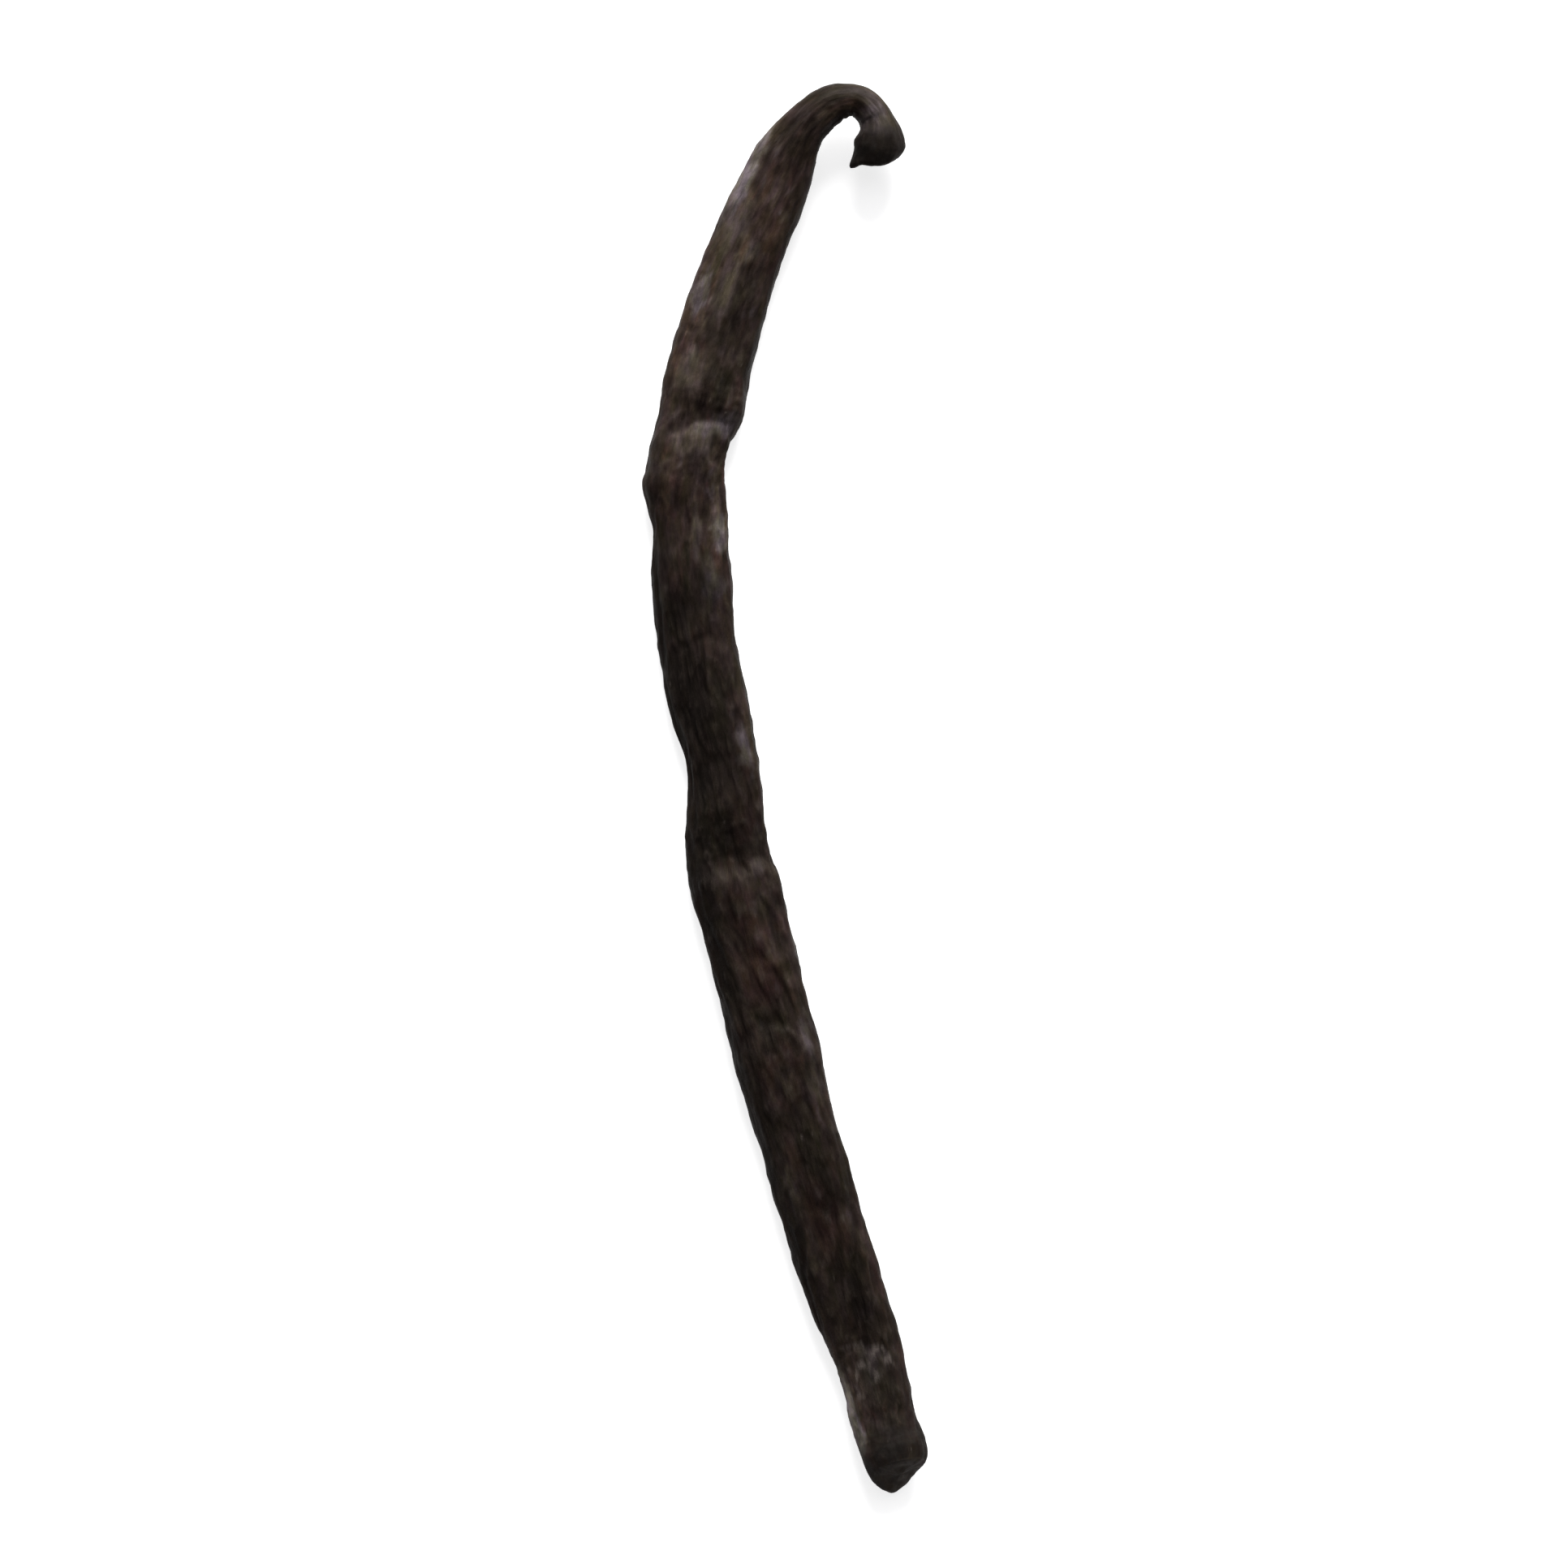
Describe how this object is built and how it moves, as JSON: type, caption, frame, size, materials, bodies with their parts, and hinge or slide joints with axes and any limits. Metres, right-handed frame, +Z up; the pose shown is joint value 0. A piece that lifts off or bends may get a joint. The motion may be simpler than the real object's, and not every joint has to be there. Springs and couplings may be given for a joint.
{
  "type": "vanilla pod",
  "caption": "Cured vanilla pod, long, dark and flattened, with lengthwise wrinkles, a hooked stem end and a blunt blossom end.",
  "frame": {"origin": "middle of the pod's box seen from above, on the surface the pod lies on", "axes": "+Y from the blossom end towards the hooked stem end, +X to the right seen from above, +Z up from the surface"},
  "size_m": [0.0302, 0.1492, 0.0057],
  "materials": {
    "cured_skin": "cured, oily pod skin: near-black brown, satin, with lengthwise wrinkles, paler brown ridges and a grey sheen"
  },
  "bodies": {
    "root": {"vanilla_pod": "cured_skin"}
  },
  "joints": []
}
